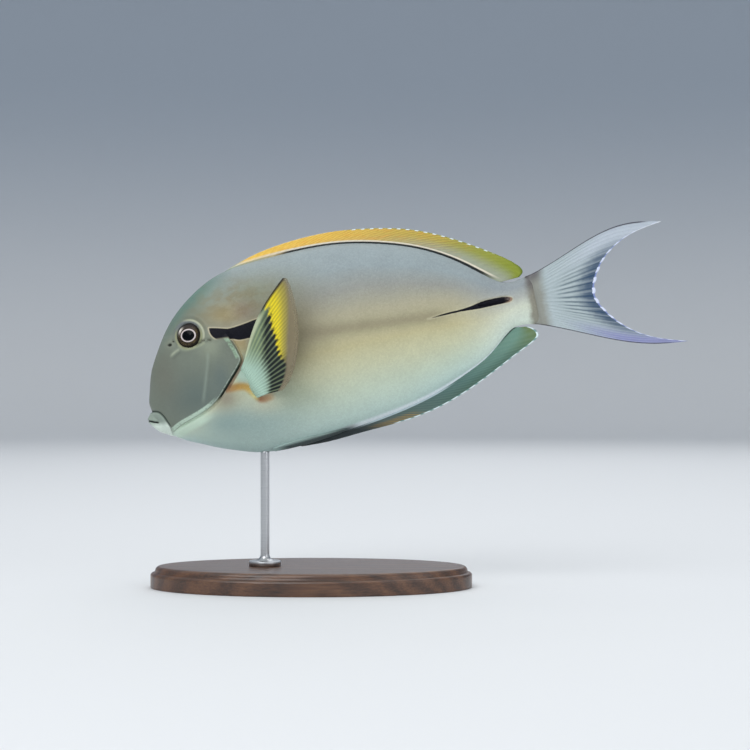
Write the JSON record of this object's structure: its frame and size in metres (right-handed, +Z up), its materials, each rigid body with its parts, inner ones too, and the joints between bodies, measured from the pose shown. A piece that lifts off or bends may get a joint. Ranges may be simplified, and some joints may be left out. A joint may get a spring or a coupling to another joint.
{
  "type": "surgeonfish display model",
  "caption": "Life-size model of an epaulette surgeonfish swimming with its tail spread, held by a rod on an oval wooden base.",
  "frame": {"origin": "on the underside of the base, below the middle of the fish's length", "axes": "+X from the snout to the tail, +Y to the fish's right, +Z up"},
  "size_m": [0.3026, 0.094, 0.2049],
  "materials": {
    "head_skin": "satin grey-olive skin",
    "gill_cover_skin": "satin grey-green skin",
    "lip_skin": "satin pale lips",
    "eye": "clear gloss over a black pupil and a dark iris",
    "flank_skin": "satin, finely scaled, blue-grey above, tan along the middle, pale below",
    "tail_stalk_skin": "satin, finely scaled, whitish",
    "scalpel": "hard black spine",
    "dorsal_membrane": "yellow fin with fine rays",
    "anal_membrane": "blue-green fin with fine rays and a pale blue edge",
    "caudal_membrane": "pale blue-grey fin with fine rays",
    "pectoral_membrane": "thin yellow and pale green fin with a brownish edge",
    "pelvic_membrane": "dusky grey fin with fine rays, pale along the top",
    "base_wood": "dark stained, satin lacquer",
    "rod_steel": "fine brushed"
  },
  "bodies": {
    "root": {"head": "head_skin", "gill_cover_left": "gill_cover_skin", "gill_cover_right": "gill_cover_skin", "upper_jaw": "lip_skin", "lower_jaw": "lip_skin", "eye_left": "eye", "eye_right": "eye", "trunk": "flank_skin", "tail_stalk": "tail_stalk_skin", "scalpel_left": "scalpel", "scalpel_right": "scalpel", "dorsal_fin": "dorsal_membrane", "anal_fin": "anal_membrane", "caudal_fin_upper": "caudal_membrane", "caudal_fin_lower": "caudal_membrane", "pectoral_fin_left": "pectoral_membrane", "pectoral_fin_right": "pectoral_membrane", "pelvic_fin_left": "pelvic_membrane", "pelvic_fin_right": "pelvic_membrane", "stand_base": "base_wood", "stand_rod": "rod_steel"}
  },
  "joints": []
}
